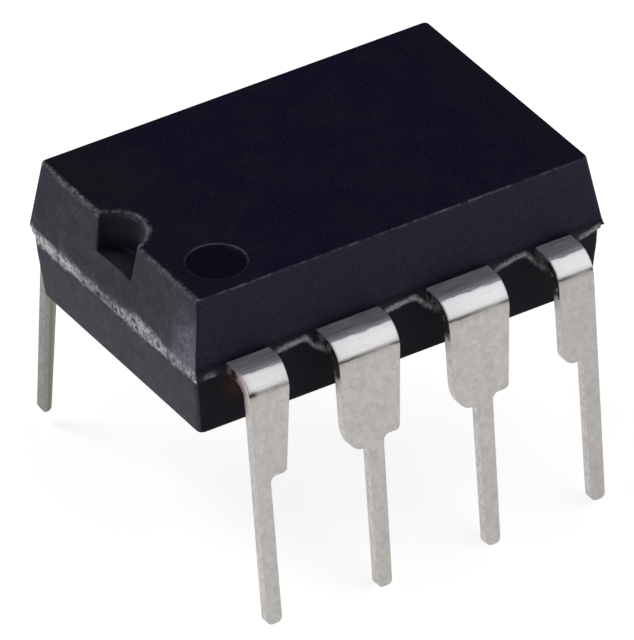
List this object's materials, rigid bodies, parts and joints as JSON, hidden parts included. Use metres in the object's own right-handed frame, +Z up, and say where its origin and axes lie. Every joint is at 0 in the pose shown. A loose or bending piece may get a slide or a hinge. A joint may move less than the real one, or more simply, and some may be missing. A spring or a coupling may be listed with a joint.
{
  "type": "dual in-line integrated circuit",
  "caption": "Moulded dual in-line integrated circuit with an end notch, a round recess by the first lead and two rows of bent leads for through-hole mounting.",
  "frame": {"origin": "centre of the lead footprint on the board's top face, the plane where the wide shoulders of the leads stop", "axes": "+X along the body from the notched end to the plain end, +Z up and away from the board, leads 1 to 4 on the -Y side"},
  "size_m": [0.0096, 0.009, 0.0074],
  "materials": {
    "epoxy": "matte moulded, near black",
    "tinned_lead": "matte tin plate, bright on the bend",
    "copper_frame": "bare rolled copper alloy",
    "attach": "cured silver-filled resin",
    "silicon": "polished",
    "bond_gold": "drawn gold wire"
  },
  "bodies": {
    "root": {"epoxy_body": "epoxy", "lead_1": "tinned_lead", "lead_2": "tinned_lead", "lead_3": "tinned_lead", "lead_4": "tinned_lead", "lead_5": "tinned_lead", "lead_6": "tinned_lead", "lead_7": "tinned_lead", "lead_8": "tinned_lead", "die_paddle": "copper_frame", "die_attach": "attach", "silicon_die": "silicon", "bond_wire_1": "bond_gold", "bond_wire_2": "bond_gold", "bond_wire_3": "bond_gold", "bond_wire_4": "bond_gold", "bond_wire_5": "bond_gold", "bond_wire_6": "bond_gold", "bond_wire_7": "bond_gold", "bond_wire_8": "bond_gold"}
  },
  "joints": []
}
